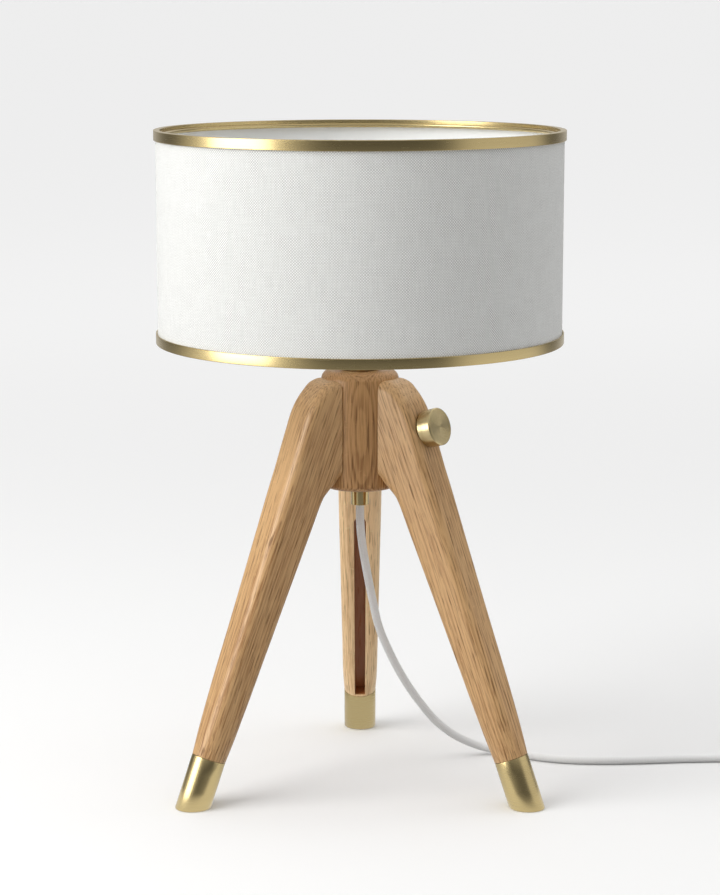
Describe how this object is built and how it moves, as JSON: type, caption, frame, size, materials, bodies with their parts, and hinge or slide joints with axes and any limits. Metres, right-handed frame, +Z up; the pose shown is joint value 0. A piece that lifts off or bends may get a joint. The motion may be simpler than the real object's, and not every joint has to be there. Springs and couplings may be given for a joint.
{
  "type": "tripod table lamp",
  "caption": "Table lamp on splayed oak legs joined at a turned oak hub, with brass foot caps, a rotary knob, a linen drum shade and a braided cord.",
  "frame": {"origin": "on the surface the lamp stands on, under the axis that the hub, bulb and shade share", "axes": "+Z up along that axis; +Y towards the back leg; +X to the right of a person who faces the lamp, where the knob and the cord are"},
  "size_m": [0.6144, 0.3046, 0.4907],
  "materials": {
    "braid": "braided sleeve",
    "brass_bright": "turned, polished",
    "brass_satin": "brushed, satin",
    "bulb_opal": "opal",
    "contact_brass": "plain",
    "dowel_beech": "fluted, dry",
    "holder_ceramic": "glazed",
    "holder_white": "gloss",
    "insulator_black": "gloss",
    "lead_pvc": "smooth",
    "linen": "plain weave linen",
    "liner": "satin film",
    "oak_hub": "oiled, satin",
    "oak_leg_back": "oiled, satin",
    "oak_leg_left": "oiled, satin",
    "oak_leg_right": "oiled, satin",
    "pad_rubber": "matt",
    "plug_pin": "nickel plated",
    "plug_white": "moulded",
    "steel": "zinc plated",
    "switch_black": "moulded",
    "tie_white": "plain",
    "wire_white": "powder coat"
  },
  "bodies": {
    "base": {"base_plate": "brass_bright", "cord": "braid", "cord_coil": "braid", "cord_outlet": "brass_bright", "cord_tie": "tie_white", "dowel_back_high": "dowel_beech", "dowel_back_low": "dowel_beech", "dowel_left_high": "dowel_beech", "dowel_left_low": "dowel_beech", "dowel_right_high": "dowel_beech", "dowel_right_low": "dowel_beech", "foot_cap_back": "brass_satin", "foot_cap_left": "brass_satin", "foot_cap_right": "brass_satin", "foot_pad_back": "pad_rubber", "foot_pad_left": "pad_rubber", "foot_pad_right": "pad_rubber", "holder_contact": "contact_brass", "holder_core": "holder_ceramic", "holder_cup": "holder_white", "holder_nut": "steel", "holder_shell": "contact_brass", "holder_skirt": "holder_white", "hub": "oak_hub", "hub_cover": "switch_black", "lead_holder": "lead_pvc", "lead_switch": "lead_pvc", "leg_back": "oak_leg_back", "leg_left": "oak_leg_left", "leg_right": "oak_leg_right", "outlet_nut": "steel", "plug_body": "plug_white", "plug_pin_a": "plug_pin", "plug_pin_b": "plug_pin", "plug_relief": "plug_white", "shade_nut": "holder_white", "stem_nut": "steel", "stem_tube": "steel", "stem_washer": "steel", "switch_body": "switch_black", "switch_nut": "steel", "switch_plate": "brass_bright"},
    "shade": {"shade_fabric": "linen", "shade_liner": "liner", "shade_band_top": "brass_satin", "shade_band_bottom": "brass_satin", "shade_wire_top": "wire_white", "shade_spider": "wire_white"},
    "knob": {"knob": "brass_satin", "knob_spindle": "steel", "knob_screw": "steel"},
    "bulb": {"bulb_glass": "bulb_opal", "bulb_cap": "steel", "bulb_insulator": "insulator_black", "bulb_contact": "contact_brass"}
  },
  "joints": [
    {"name": "knob_turn", "type": "hinge", "parent": "base", "child": "knob", "pos_m": [0.04824, -0.02785, 0.274], "axis": [0.7845, -0.5596, 0.2672], "range_deg": [0, 270]},
    {"name": "shade_turn", "type": "hinge", "parent": "base", "child": "shade", "pos_m": [0, 0, 0.3348], "axis": [0, 0, 1], "continuous": true},
    {"name": "bulb_turn", "type": "hinge", "parent": "base", "child": "bulb", "pos_m": [0, 0, 0.371], "axis": [0, 0, 1], "continuous": true}
  ]
}
